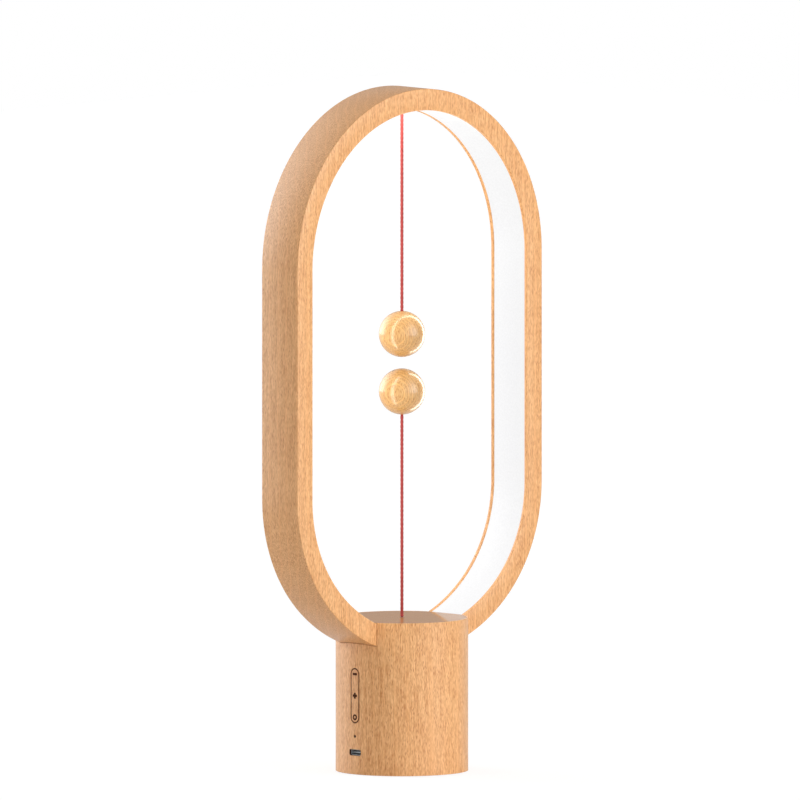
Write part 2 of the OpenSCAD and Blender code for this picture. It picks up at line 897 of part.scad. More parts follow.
module microswitch_screws() {
    color("silver") micro_hole_places() {
        along_y(micro_screw_d, -micro_w / 2 - seat - micro_head_t, bracket_y + bracket_t + 0.6);
        along_y(micro_head_d, -micro_w / 2 - seat - micro_head_t, -micro_w / 2 - seat);
    }
}

module switch_leads() {
    top = micro_bottom + micro_h + terminal_l - wire_d;
    color("black") for (i = [0, 1]) {
        x = micro_x + (i == 0 ? terminal_in : micro_l - terminal_in);
        wire([
            [x, -1.2 - wire_d / 2, top],
            [x, -lead_socket_y - lead_step * i, top - wire_d],
            [socket_x + 2 * lead_in, -lead_socket_y - lead_step * i, lead_socket_z + 1.5 * lead_step],
            [socket_x + lead_in, -lead_socket_y + lead_step * (0.5 - i), lead_socket_z + lead_step],
            [socket_x, -lead_socket_y + lead_step * (0.5 - i), lead_socket_z + lead_step]
        ]);
    }
}

module bottom_cover() {
    color("dimgray") difference() {
        upright(2 * (ledge_r - fit), pad_t, cover_top - seat);
        cover_screw_places() {
            upright(cover_screw_d + 2 * fit, 0, cover_top + cut);
            upright(cover_head_d + 2 * fit, 0, pad_t + cover_head_t + seat);
        }
    }
}

module cover_screws() {
    color("silver") cover_screw_places()
        screw_up(cover_screw_d, cover_head_d, cover_head_t, pad_t + cover_head_t, cover_top + cover_screw_up);
}

module foot_pad() {
    color("black") upright(2 * (base_r - pad_inset), 0, pad_t);
}

module ballast_plate() {
    color("gray") upright(2 * (cavity_r - ballast_gap), cover_top, cover_top + ballast_t);
}

module battery_tape() {
    color("white") translate([battery_end + 1, 1 - battery_w / 2, cover_top + ballast_t])
        cube([battery_l - 2, battery_w - 2, tape_t]);
}

module battery_pack() {
    color("steelblue") translate([battery_end, -battery_w / 2, battery_bottom])
        cube([battery_l, battery_w, battery_h]);
}

module battery_leads() {
    z = battery_bottom + battery_h / 2;
    bend_x = (battery_end + socket_x) / 2;
    color("crimson") for (y = [-1.2, 1.2]) {
        wire([
            [battery_end, 2 * y, z],
            [bend_x, 2 * y, z],
            [bend_x, y, battery_socket_z],
            [socket_x, y, battery_socket_z]
        ]);
    }
}

module control_board() {
    color("darkgreen") control_side() difference() {
        translate([board_back, -board_w / 2, board_bottom]) cube([board_t, board_w, board_top - board_bottom]);
        standoff_places() along_x(board_screw_d + 2 * fit, board_back - cut, board_front + cut);
    }
}

module board_standoffs() {
    color("ivory") control_side() standoff_places() difference() {
        along_x(standoff_d, board_front, pocket_x);
        along_x(board_screw_d + 2 * fit, board_front - cut, pocket_x + cut);
    }
}

module board_screws() {
    color("silver") control_side() standoff_places() {
        along_x(board_screw_d, board_back - board_head_t, pocket_x + board_screw_bite);
        along_x(board_head_d, board_back - board_head_t, board_back);
    }
}

// Three push switches behind the key's marks
module push_switches() {
    color("black") control_side() for (i = [-1 : 1]) {
        translate([board_front, -push_side / 2, key_z + i * mark_pitch - push_side / 2])
            cube([push_t, push_side, push_side]);
        translate([0, 0, key_z + i * mark_pitch]) along_x(plunger_d, board_front + push_t, plunger_x);
    }
}

module on_board_back(y, z, w, h, t) {
    translate([board_back - t, y - w / 2, z - h / 2]) cube([t, w, h]);
}

module controller_chip() {
    color("black") control_side()
        on_board_back(controller_y, controller_z, controller_side, controller_side, controller_t);
}

module power_coil() {
    core_depth = 0.6;
    color("dimgray") control_side() difference() {
        on_board_back(power_coil_y, power_coil_z, power_coil_side, power_coil_side, power_coil_t);
        translate([0, power_coil_y, power_coil_z])
            along_x(power_coil_core_d, board_back - power_coil_t - cut, board_back - power_coil_t + core_depth);
    }
}

module board_sockets() {
    color("ivory") control_side() {
        on_board_back(0, battery_socket_z, battery_socket_w, battery_socket_h, socket_t);
        on_board_back(lead_socket_y, lead_socket_z, lead_socket_w, lead_socket_h, socket_t);
    }
}

module port_shell() {
    color("silver") control_side() difference() {
        facing_x(port_z, board_front, base_r - port_recess) rounded_2d(port_w, port_h, port_round);
        facing_x(port_z, board_front + 1.5, base_r)
            rounded_2d(port_w - 2 * port_wall, port_h - 2 * port_wall, port_round - port_wall);
    }
}

module port_tongue() {
    color("black") control_side()
        facing_x(port_z, board_front + 1.5, base_r - port_recess - tongue_recess)
            rounded_2d(tongue_w, tongue_t, tongue_t / 3);
}

module indicator_led() {
    color("white") control_side() translate([board_front, -1, indicator_z - 0.6]) cube([led_t, 2, 1.2]);
}

// Light pipe from the board to the outside, with a collar against the wood
module indicator_lens() {
    color("orangered") control_side() translate([0, 0, indicator_z]) {
        along_x(indicator_d, board_front + led_t + 0.2, base_r - fit);
        along_x(lens_collar_d, pocket_x - seat - lens_collar_t, pocket_x - seat);
    }
}

// Rubber mat with a crown in its middle that the key rocks on, and a pip for each push switch
module key_mat() {
    crown_h = 2.4;
    color("darkslategray") control_side() {
        facing_x(key_z, mat_x, mat_x + mat_t) oblong_2d(flange_w - 1.4, flange_h - 1.4);
        translate([mat_x + mat_t, -key_w / 2, key_z - crown_h / 2]) cube([crown_t, key_w, crown_h]);
        for (i = [-1 : 1]) {
            translate([0, 0, key_z + i * mark_pitch]) along_x(pip_d, pip_x, mat_x);
        }
    }
}

module key_carrier() {
    color("saddlebrown") control_side() {
        facing_x(key_z, flange_x, flange_x + flange_t) oblong_2d(flange_w, flange_h);
        facing_x(key_z, flange_x + flange_t, base_r - key_t) oblong_2d(key_w - fit, key_h - fit);
    }
}

module control_key() {
    color("burlywood") control_side() intersection() {
        facing_x(key_z, base_r - key_t, base_r + cut) oblong_2d(key_w, key_h);
        upright(base_d, 0, base_h);
    }
}

base_shell();
slot_filler();
top_disc();
cord_guide();
ring_frame();
ring_screws();
light_diffuser();
led_strips();
led_chips();
led_leads();
cord_anchor();
anchor_screws();
upper_cord_end();
upper_cord_bend();
upper_cord();
upper_ball();
upper_ball_plug();
upper_magnet();
lower_cord_bend();
lower_cord();
lower_ball();
lower_ball_plug();
lower_magnet();
lower_ball_knot();
switch_cord();
cord_stop();
return_spring();
switch_bracket();
bracket_screws();
switch_lever();
lever_pin();
microswitch_body();
microswitch_button();
microswitch_terminals();
microswitch_screws();
switch_leads();
bottom_cover();
cover_screws();
foot_pad();
ballast_plate();
battery_tape();
battery_pack();
battery_leads();
control_board();
board_standoffs();
board_screws();
push_switches();
controller_chip();
power_coil();
board_sockets();
port_shell();
port_tongue();
indicator_led();
indicator_lens();
key_mat();
key_carrier();
control_key();
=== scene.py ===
# Dresses the magnetic balance lamp: its wood, light, cords, marks and finishes, a floor, lights and a camera.
# Sizes are in millimetres, as in the part's source, and become metres where a mesh is made.
import json
import math

import bmesh
import bpy
from mathutils import Matrix, Vector


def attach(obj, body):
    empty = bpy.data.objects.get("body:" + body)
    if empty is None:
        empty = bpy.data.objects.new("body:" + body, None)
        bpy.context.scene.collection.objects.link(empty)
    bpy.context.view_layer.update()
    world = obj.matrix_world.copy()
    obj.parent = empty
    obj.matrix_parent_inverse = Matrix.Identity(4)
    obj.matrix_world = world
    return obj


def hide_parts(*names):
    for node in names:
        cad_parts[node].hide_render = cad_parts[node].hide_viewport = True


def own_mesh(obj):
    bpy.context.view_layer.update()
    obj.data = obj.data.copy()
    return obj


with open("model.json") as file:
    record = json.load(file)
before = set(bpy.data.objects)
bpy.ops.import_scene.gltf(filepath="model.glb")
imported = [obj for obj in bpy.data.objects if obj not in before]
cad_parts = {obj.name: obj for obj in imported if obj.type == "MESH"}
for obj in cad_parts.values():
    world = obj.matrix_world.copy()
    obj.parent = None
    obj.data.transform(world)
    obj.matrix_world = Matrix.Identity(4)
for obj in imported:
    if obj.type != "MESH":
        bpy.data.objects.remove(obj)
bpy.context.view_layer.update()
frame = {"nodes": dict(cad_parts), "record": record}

MM = 0.001
bpy.context.scene.view_settings.view_transform = "Standard"

# The ring, from the part's source: the arcs of its outline, its section, and the groove in its inside
RING_R = 100.35
CORNER_R = 91.5
CORNER_SHIFT = 8.85
BOTTOM_RISE = 10.217
BOTTOM_R = 105.017
CORNER_Z = 164.65
CROWN_Z = 299.65
RING_WALL = 12.5
RING_HALF = 14.85
GROOVE_BACK = 4.0
GROOVE_HALF = 12.75
# The diffuser: its front's depth below the outside, its front and sides, its gap to the wood, and where it ends
FACE_IN = 12.2
DIFFUSER_FACE = 2.0
DIFFUSER_SIDE = 1.2
FIT = 0.15
DIFFUSER_END = 27.6
# How far the ring's outer and inner edges, the groove's lips and the diffuser's edges are rounded off
OUTER_EDGE = 0.45
INNER_EDGE = 0.35
LIP_EDGE = 0.2
DIFFUSER_EDGE = 0.3
# Degrees between the places round the ring's arcs, and places along a straight side
ARC_STEP = 2.0
STRAIGHT_STEPS = 8

BASE_R = 38.65
BASE_H = 89.8

# Balls: their centres, the cord's hole, the magnet's bore, the plug over it, and how far their rims are softened
BALL_R = 13.5
UPPER_BALL_Z = 255.7
LOWER_BALL_Z = 222.0
CORD_HOLE_R = 1.3
BORE_R = 4.15
BORE_DEPTH = 1.5
PLUG_R = 4.0
PLUG_L = 4.0
HOLE_RIM = 0.35
BORE_RIM_ACROSS = 0.21
BORE_RIM_DOWN = 0.175
PLUG_RIM = 0.2
BALL_STEPS = 48
PLUG_STEPS = 8
TURNED_SIDES = 96

# Cords: the heights that they bend at, the lower ball's travel, and the weave
UPPER_PIVOT_Z = 386.75
LOWER_PIVOT_Z = 90.85
CORD_R = 0.95
THREADS = 4
THREAD_PITCH = 2.6
THREAD_SWELL = 0.09
CORD_SIDES = 24
CORD_STEP = 0.16

# Key: its size, and its marks and burnt outline with how far these stand out
KEY_Z = 46.4
KEY_W = 6.7
KEY_H = 31.9
MARK_PITCH = 12.65
MARK_W = 3.5
MARK_LINE = 1.45
MARK_CORNER = 0.3
RING_MARK_R = 1.75
RING_MARK_LINE = 0.95
MARK_PROUD = 0.03
OUTLINE_W = 0.5
OUTLINE_PROUD = 0.012

# Charging port: its opening in the wood, and a dark lining on the opening's wall that is painted shade
PORT_Z = 13.1
PORT_OPEN_W = 9.34
PORT_OPEN_H = 3.66
PORT_ROUND = 1.1
PORT_EDGE = 0.12
PORT_EDGE_DEPTH = 1.4

# Beech, in millimetres across and along the grain: fibres, short flecks, slow changes of tint, and pores
FIBRES = (0.5, 17.0)
FLECKS = (0.48, 2.8)
SLOW_TINT = (14.0, 90.0)
PORES = (0.64, 3.4)
# Their shares in the grain, and how many times as long as wide a growth line is
FIBRE_SHARE = 0.42
SLOW_SHARE = 0.08
FLECK_SHARE = 0.52
GROWTH_STRETCH = 14
# How much darker and paler the grain gets in red, green and blue, and the colour of pores and growth lines
DARKER = (0.27, 0.42, 0.6)
PALER = (0.17, 0.32, 0.52)
PORE_SHADE = (0.6, 0.38, 0.24)
PORE_STRENGTH = 0.9
GROWTH_SHADE = 1.22
# Where a pore fades out, which cells have a pore, and the part of a wave that is a growth line
PORE_FADE = (0.16, 0.32)
PORE_PICK = (0.25, 0.6)
GROWTH_LINE = (0.8, 1.0)
# How far its gloss varies, how deep a pore is beside the fibres, and the strength and height of its bumps
ROUGH_RANGE = 0.06
PORE_DEPTH = 0.8
WOOD_BUMP = (0.25, 0.08)
# Other finishes: clumps in specks, the specks' share in the tint, the range of the gloss, and the bumps
CLUMP = 14
SPECK_SHARE = 0.6
GLOSS_RANGE = 0.15
SPECK_BUMP = (0.2, 0.06)
# Parts of a noise's range that are spread out to the full range
NARROW = (0.38, 0.62)
BROAD = (0.3, 0.7)

# Seen by the camera, the floor is part diffuse, so that it shows a faint shadow. Emission makes up for the light
# that the diffuse part lacks where there is no shadow.
SHADOW = 0.3
FLOOR_LIT = 0.57
FLOOR_GREY = 0.8
FLOOR_SIZE = 6.0
# How much of the white studio shows in gloss
GLOSS_WHITE = 0.2
# Light round the lamp: degrees from the camera, to the right of it where above 0, and brightness
STUDIO_LIGHT = [
    (-180, 0.3), (-165, 0.6), (-150, 2.3), (-135, 3.8), (-120, 5.0), (-105, 4.4), (-90, 1.3), (-75, 0.08),
    (-30, 0.05), (-15, 0.55), (0, 1.0), (12, 1.15), (24, 1.5), (36, 2.2), (48, 3.4), (60, 4.7), (72, 4.5),
    (84, 2.1), (96, 0.1), (110, 0.15), (135, 0.15), (155, 0.3), (180, 0.3),
]
# Light from above, and the rise at which it starts and is alone
TOP_LIGHT = 0.3
TOP_RISE = (0.3, 0.9)
# Lamps on the diffuser: brightness, colour, places that each spans, height over the wood, and the lowest one
GLOW = 5.7
GLOW_COLOUR = (1, 0.95, 0.8)
GLOW_SPAN = 6
GLOW_LIFT = 0.3
GLOW_FROM_Z = BASE_H + 22


# ---------------------------------------------------------------- camera
# The photograph's view as a parallel projection: its direction, its width, and the point that it looks at
VIEW_AZIMUTH = math.radians(44.735)
VIEW_ELEVATION = math.radians(5.525)
VIEW_SPAN = 0.4665
VIEW_DISTANCE = 3.0
LOOK_RIGHT = -0.00112
LOOK_UP = 0.21598
sin_a, cos_a = math.sin(VIEW_AZIMUTH), math.cos(VIEW_AZIMUTH)
sin_e, cos_e = math.sin(VIEW_ELEVATION), math.cos(VIEW_ELEVATION)
forward = Vector((sin_a * cos_e, cos_a * cos_e, -sin_e))
right = Vector((cos_a, -sin_a, 0))
up = Vector((sin_a * sin_e, cos_a * sin_e, cos_e))
camera = bpy.data.objects.new("camera", bpy.data.cameras.new("camera"))
bpy.context.scene.collection.objects.link(camera)
camera.data.type = "ORTHO"
camera.data.ortho_scale = VIEW_SPAN
camera.location = right * LOOK_RIGHT + up * LOOK_UP - forward * VIEW_DISTANCE
camera.rotation_mode = "QUATERNION"
camera.rotation_quaternion = forward.to_track_quat("-Z", "Y")
bpy.context.scene.camera = camera


# ---------------------------------------------------------------- node trees
def node(tree, kind, inputs=None, **settings):
    """Adds a node. An input is a value, or an output of another node."""
    made = tree.nodes.new("ShaderNode" + kind)
    for name, value in settings.items():
        setattr(made, name, value)
    for name, value in (inputs or {}).items():
        if isinstance(value, bpy.types.NodeSocket):
            tree.links.new(value, made.inputs[name])
        else:
            made.inputs[name].default_value = value
    return made


def math_node(tree, operation, a, b=0.5):
    return node(tree, "Math", {0: a, 1: b}, operation=operation).outputs[0]


def mix_colour(tree, factor, a, b):
    made = node(tree, "Mix", {"Factor": factor}, data_type="RGBA")
    for name, value in (("A", a), ("B", b)):
        socket = [s for s in made.inputs if s.name == name and s.type == "RGBA"][0]
        if isinstance(value, bpy.types.NodeSocket):
            tree.links.new(value, socket)
        else:
            socket.default_value = (*value, 1)
    return [s for s in made.outputs if s.type == "RGBA"][0]


def spread(tree, value, low, high, to_low=0.0, to_high=1.0):
    return node(
        tree,
        "MapRange",
        {"Value": value, "From Min": low, "From Max": high, "To Min": to_low, "To Max": to_high},
    ).outputs[0]


def scaled(tree, across, along, turn=0.0):
    """Object coordinates in cells that are this many millimetres across and along Z."""
    coords = node(tree, "TexCoord").outputs["Object"]
    cell = (1 / (across * MM), 1 / (across * MM), 1 / (along * MM))
    return node(tree, "Mapping", {"Vector": coords, "Scale": cell, "Rotation": (0, 0, turn)}).outputs[0]


def noise(tree, across, along, detail=2.0, turn=0.0):
    return node(
        tree, "TexNoise", {"Vector": scaled(tree, across, along, turn), "Scale": 1.0, "Detail": detail}
    ).outputs[0]


def shade(colour, factors):
    """The colour times a number, or times one number for each channel. No channel goes above 1."""
    if not isinstance(factors, tuple):
        factors = (factors,) * 3
    return tuple(min(1, c * f) for c, f in zip(colour, factors))


def new_material(name):
    material = bpy.data.materials.new(name)
    material.use_nodes = True
    tree = material.node_tree
    shader = tree.nodes["Principled BSDF"]
    return material, tree, shader


def bump(tree, shader, height, strength, distance, edge=0.0):
    """Bumps that are this many millimetres high, on edges that look rounded off by so many millimetres."""
    inputs = {"Height": height, "Strength": strength, "Distance": distance * MM}
    if edge:
        inputs["Normal"] = node(tree, "Bevel", {"Radius": edge * MM}, samples=4).outputs[0]
    made = node(tree, "Bump", inputs)
    tree.links.new(made.outputs[0], shader.inputs["Normal"])


# ---------------------------------------------------------------- materials
def beech(
    name, colour, rough=0.42, coat=0.4, coat_rough=0.25, contrast=1.0, turn=0.3, edge=0.3, lines=0.25, growth=9.0,
    shine=0.5,
):
    """Beech with its grain along Z: fine fibres, short dark pores, pale growth lines and slow changes of tint."""
    material, tree, shader = new_material(name)
    fibres = noise(tree, *FIBRES, 2.0, turn)
    flecks = noise(tree, *FLECKS, 1.0, turn)
    slow = noise(tree, *SLOW_TINT, 2.0, turn)
    grain = math_node(
        tree, "ADD", spread(tree, fibres, *NARROW, 0, FIBRE_SHARE), spread(tree, slow, *BROAD, 0, SLOW_SHARE)
    )
    grain = math_node(tree, "ADD", grain, spread(tree, flecks, *NARROW, 0, FLECK_SHARE))
    dark = shade(colour, tuple(1 - contrast * f for f in DARKER))
    pale = shade(colour, tuple(1 + contrast * f for f in PALER))
    tint = mix_colour(tree, grain, dark, pale)

    pores = node(tree, "TexVoronoi", {"Vector": scaled(tree, *PORES, turn), "Scale": 1.0, "Randomness": 1.0})
    pore = spread(tree, pores.outputs["Distance"], *PORE_FADE, 1, 0)
    chosen = node(tree, "SeparateColor", {"Color": pores.outputs["Color"]}).outputs[0]
    pore = math_node(tree, "MULTIPLY", pore, spread(tree, chosen, *PORE_PICK))
    strength = math_node(tree, "MULTIPLY", pore, min(1, PORE_STRENGTH * contrast))
    tint = mix_colour(tree, strength, tint, shade(colour, PORE_SHADE))

    wave = node(
        tree,
        "TexWave",
        {
            "Vector": scaled(tree, growth, growth * GROWTH_STRETCH, turn + 0.5),
            "Scale": 0.5,
            "Distortion": 4.0,
            "Detail": 2.0,
        },
    ).outputs["Fac"]
    line = math_node(tree, "MULTIPLY", spread(tree, wave, *GROWTH_LINE), lines)
    tint = mix_colour(tree, line, tint, shade(colour, GROWTH_SHADE))

    tree.links.new(tint, shader.inputs["Base Color"])
    gloss = spread(tree, fibres, *BROAD, rough + ROUGH_RANGE, rough - ROUGH_RANGE)
    tree.links.new(gloss, shader.inputs["Roughness"])
    shader.inputs["Specular IOR Level"].default_value = shine
    shader.inputs["Coat Weight"].default_value = coat
    shader.inputs["Coat Roughness"].default_value = coat_rough
    height = math_node(tree, "SUBTRACT", fibres, math_node(tree, "MULTIPLY", pore, PORE_DEPTH))
    bump(tree, shader, height, *WOOD_BUMP, edge)
    return material


def moulded(name, colour, rough, speck=0.5, amount=0.12, metal=0.0, brushed=1.0, coat=0.0, shine=0.5):
    """Plastic, rubber or metal: its colour and gloss vary over specks of this size, drawn out along Z if brushed."""
    material, tree, shader = new_material(name)
    fine = noise(tree, speck, speck * brushed, 3.0)
    clumps = noise(tree, speck * CLUMP, speck * CLUMP, 2.0)
    factor = math_node(
        tree, "ADD", spread(tree, fine, *BROAD, 0, SPECK_SHARE), spread(tree, clumps, *BROAD, 0, 1 - SPECK_SHARE)
    )
    tint = mix_colour(tree, factor, shade(colour, 1 - amount), shade(colour, 1 + amount))
    tree.links.new(tint, shader.inputs["Base Color"])
    gloss = spread(tree, fine, *BROAD, rough * (1 - GLOSS_RANGE), rough * (1 + GLOSS_RANGE))
    tree.links.new(gloss, shader.inputs["Roughness"])
    shader.inputs["Metallic"].default_value = metal
    shader.inputs["Specular IOR Level"].default_value = shine
    shader.inputs["Coat Weight"].default_value = coat
    strength, height = SPECK_BUMP
    bump(tree, shader, fine, strength, speck * height)
    return material


def glowing(name, glow, body):
    """Frosted acrylic in front of the lights: a grey body, and a glow with the faint mottle of its surface."""
    material, tree, shader = new_material(name)
    mottle = noise(tree, 1.1, 1.1, 4.0)
    light = mix_colour(tree, spread(tree, mottle, 0.35, 0.65), shade(glow, 0.95), glow)
    tree.links.new(light, shader.inputs["Emission Color"])
    tree.links.new(mix_colour(tree, mottle, shade(body, 0.9), body), shader.inputs["Base Color"])
    shader.inputs["Emission Strength"].default_value = 1.0
    shader.inputs["Roughness"].default_value = 0.5
    bump(tree, shader, mottle, 0.3, 0.05)
    return material


def braided(name, colour):
    """Woven cord: its threads lie in two crossing directions. A painted highlight lightens the threads, and painted
    shade darkens the gaps between them.
    """
    material, tree, shader = new_material(name)
    threads = noise(tree, 0.16, 0.5, 2.0)
    gap_painted_shade = noise(tree, 0.45, 0.45, 2.0)
    # Painted shade darkens the gaps, and then a painted highlight lightens the threads
    tint = mix_colour(tree, spread(tree, gap_painted_shade, 0.35, 0.6), shade(colour, 0.75), colour)
    tint = mix_colour(tree, spread(tree, threads, 0.45, 0.75, 0, 0.5), tint, shade(colour, 1.5))
    tree.links.new(tint, shader.inputs["Base Color"])
    shader.inputs["Roughness"].default_value = 0.7
    shader.inputs["Sheen Weight"].default_value = 0.1
    bump(tree, shader, threads, 0.5, 0.04)
    return material


WOODS = {
    "ring_beech": dict(colour=(0.825, 0.415, 0.158)),
    "base_beech": dict(colour=(0.87, 0.43, 0.165), turn=1.1, contrast=1.1),
    "ball_beech": dict(
        colour=(0.61, 0.335, 0.118), rough=0.4, coat=0.85, coat_rough=0.13, turn=2.2, edge=0, lines=0.9, growth=2.6
    ),
    "key_beech": dict(colour=(0.79, 0.385, 0.148), turn=1.1, edge=0.15),
    "inner_wood": dict(colour=(0.6, 0.36, 0.19), rough=0.6, turn=1.9),
    "top_plate": dict(
        colour=(0.37, 0.17, 0.045), rough=0.5, coat=0.5, coat_rough=0.06, contrast=0.5, turn=0.7, edge=0.2, shine=0.25
    ),
}
PLAIN = {
    "strip": dict(colour=(0.85, 0.85, 0.82), rough=0.5, speck=0.3, amount=0.06),
    "led_chip": dict(colour=(0.9, 0.78, 0.3), rough=0.3, speck=0.2, amount=0.1, coat=0.6),
    "steel": dict(colour=(0.55, 0.56, 0.57), rough=0.32, speck=0.25, amount=0.1, metal=1.0, brushed=5.0),
    "magnet": dict(colour=(0.72, 0.73, 0.74), rough=0.18, speck=0.4, amount=0.06, metal=1.0),
    "brass": dict(colour=(0.72, 0.5, 0.18), rough=0.3, speck=0.25, amount=0.1, metal=1.0),
    "ivory_plastic": dict(colour=(0.78, 0.74, 0.62), rough=0.42, speck=0.4, amount=0.05),
    "black_plastic": dict(colour=(0.03, 0.03, 0.032), rough=0.45, speck=0.35, amount=0.25),
    "brown_plastic": dict(colour=(0.08, 0.035, 0.018), rough=0.5, speck=0.35, amount=0.2),
    "rubber_pad": dict(colour=(0.035, 0.035, 0.035), rough=0.85, speck=0.6, amount=0.3),
    "silicone": dict(colour=(0.05, 0.055, 0.055), rough=0.6, speck=0.5, amount=0.15),
    "circuit_board": dict(colour=(0.01, 0.12, 0.045), rough=0.3, speck=0.8, amount=0.3, coat=0.5),
    "battery_wrap": dict(colour=(0.05, 0.16, 0.42), rough=0.25, speck=2.0, amount=0.12, coat=0.4),
    "white_tape": dict(colour=(0.8, 0.8, 0.78), rough=0.8, speck=0.5, amount=0.08),
    "red_wire": dict(colour=(0.5, 0.02, 0.02), rough=0.4, speck=0.3, amount=0.12),
    "black_wire": dict(colour=(0.025, 0.025, 0.025), rough=0.4, speck=0.3, amount=0.2),
    "indicator": dict(colour=(0.04, 0.008, 0.003), rough=0.5, speck=0.2, amount=0.2, shine=0.15),
}
FINISHES = {name: beech(name, **settings) for name, settings in WOODS.items()}
FINISHES.update({name: moulded(name, **settings) for name, settings in PLAIN.items()})
FINISHES["diffuser"] = glowing("diffuser", (0.76, 0.765, 0.78), (0.14, 0.14, 0.14))
FINISHES["red_cord"] = braided("red_cord", (0.38, 0.036, 0.034))
port_metal = moulded("port_metal", (0.46, 0.5, 0.52), rough=0.5, speck=0.4, amount=0.08, metal=0.3)
# Burnt marks on the key, and the dark lining that paints shade on the wall of the port's opening
burnt_marks_and_port_shade = beech(
    "burnt_marks_and_port_shade", (0.075, 0.021, 0.004), rough=0.75, coat=0, contrast=0.6, turn=1.1, edge=0, lines=0, shine=0.15
)

for part in frame["record"]["subparts"]:
    slots = frame["nodes"][part["node"]].data.materials
    slots.clear()
    slots.append(FINISHES[part["material_slot"]])
for name in ("port_shell", "port_tongue"):
    frame["nodes"][name].data.materials[0] = port_metal


# ---------------------------------------------------------------- mesh making
def piece(name, points, faces, slot, body, stands_for=(), material=None, sharp=35):
    """A mesh piece from points in millimetres, with its finish, its body and the CAD nodes it stands for."""
    mesh = bpy.data.meshes.new(name)
    mesh.from_pydata([Vector(p) * MM for p in points], [], faces)
    work = bmesh.new()
    work.from_mesh(mesh)
    bmesh.ops.recalc_face_normals(work, faces=work.faces)
    work.to_mesh(mesh)
    work.free()
    mesh.polygons.foreach_set("use_smooth", [True] * len(mesh.polygons))
    mesh.set_sharp_from_angle(angle=math.radians(sharp))
    mesh.materials.append(material or FINISHES[slot])
    made = bpy.data.objects.new(name, mesh)
    bpy.context.scene.collection.objects.link(made)
    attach(made, body)
    if stands_for:
        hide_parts(*stands_for)
    return made


def rounded_loop(corners, steps=3):
    """A closed outline. Each corner is (a, b, radius) and is rounded off by steps short edges."""
    loop = []
    for i, (a, b, radius) in enumerate(corners):
        here = Vector((a, b))
        if not radius:
            loop.append(tuple(here))
            continue
        before = (Vector(corners[i - 1][:2]) - here).normalized()
        after = (Vector(corners[(i + 1) % len(corners)][:2]) - here).normalized()
        half = before.angle(after) / 2
        centre = here + (before + after).normalized() * radius / math.sin(half)
        start = here + before * radius / math.tan(half) - centre
        end = here + after * radius / math.tan(half) - centre
        sweep = start.angle_signed(end)
        for k in range(steps + 1):
            turned = Matrix.Rotation(-sweep * k / steps, 2) @ start
            loop.append(tuple(centre + turned))
    return loop


def ring_stations():
    """Places round the ring as (centre x, centre z, radius, angle), anticlockwise seen from the front."""
    turn = math.atan2(BOTTOM_RISE, CORNER_SHIFT)

    def arc(x, z, radius, start, end):
        count = max(2, round(math.degrees(abs(end - start)) / ARC_STEP))
        return [(x, z, radius, start + (end - start) * k / count) for k in range(count)]

    straight = [(CROWN_Z - CORNER_Z) * k / STRAIGHT_STEPS for k in range(STRAIGHT_STEPS)]
    stations = arc(0, CROWN_Z, RING_R, 0, math.pi)
    stations += [(0, CROWN_Z - s, RING_R, math.pi) for s in straight]
    stations += arc(-CORNER_SHIFT, CORNER_Z, CORNER_R, math.pi, math.pi + turn)
    stations += arc(0, CORNER_Z + BOTTOM_RISE, BOTTOM_R, math.pi + turn, 2 * math.pi - turn)
    stations += arc(CORNER_SHIFT, CORNER_Z, CORNER_R, 2 * math.pi - turn, 2 * math.pi)
    stations += [(0, CORNER_Z + s, RING_R, 0) for s in straight]
    return stations


def ring_point(station, inset):
    """The (x, z) of a place on the ring, this far in from its outside."""
    x, z, radius, angle = station
    return x + (radius - inset) * math.cos(angle), z + (radius - inset) * math.sin(angle)


def swept_ring(name, profile, slot, stands_for, kept=lambda x, z: True):
    """Sweeps an outline of (depth into the ring, y) round the ring, where kept says so."""
    points, faces = [], []
    stations = ring_stations()
    wide = len(profile)
    shown = [kept(*ring_point(station, 0)) for station in stations]
    for station in stations:
        for inset, y in profile:
            x, z = ring_point(station, inset)
            points.append((x, y, z))
    for i in range(len(stations)):
        j = (i + 1) % len(stations)
        if not (shown[i] and shown[j]):
            continue
        for k in range(wide):
            m = (k + 1) % wide
            faces.append((i * wide + k, i * wide + m, j * wide + m, j * wide + k))
        if not shown[i - 1]:
            faces.append(tuple(i * wide + k for k in range(wide)))
        if not shown[(j + 1) % len(stations)]:
            faces.append(tuple(j * wide + k for k in range(wide)))
    return piece(name, points, faces, slot, "stand", stands_for)


def lathed(name, profile, centre_z, slot, body, stands_for, flip=False, closed=True):
    """Turns an outline of (radius, height) round the Z axis."""
    points, faces = [], []
    wide = len(profile)
    for s in range(TURNED_SIDES):
        angle = 2 * math.pi * s / TURNED_SIDES
        for radius, height in profile:
            z = centre_z + (-height if flip else height)
            points.append((radius * math.cos(angle), radius * math.sin(angle), z))
    for s in range(TURNED_SIDES):
        t = (s + 1) % TURNED_SIDES
        for k in range(wide if closed else wide - 1):
            m = (k + 1) % wide
            faces.append((s * wide + k, s * wide + m, t * wide + m, t * wide + k))
    return piece(name, points, faces, slot, body, stands_for)


# ---------------------------------------------------------------- ring and light
ring_profile = rounded_loop(
    [
        (0, -RING_HALF, OUTER_EDGE),
        (RING_WALL, -RING_HALF, INNER_EDGE),
        (RING_WALL, -GROOVE_HALF, LIP_EDGE),
        (GROOVE_BACK, -GROOVE_HALF, 0),
        (GROOVE_BACK, GROOVE_HALF, 0),
        (RING_WALL, GROOVE_HALF, LIP_EDGE),
        (RING_WALL, RING_HALF, INNER_EDGE),
        (0, RING_HALF, OUTER_EDGE),
    ]
)
swept_ring("ring", ring_profile, "ring_beech", ["ring_frame"])

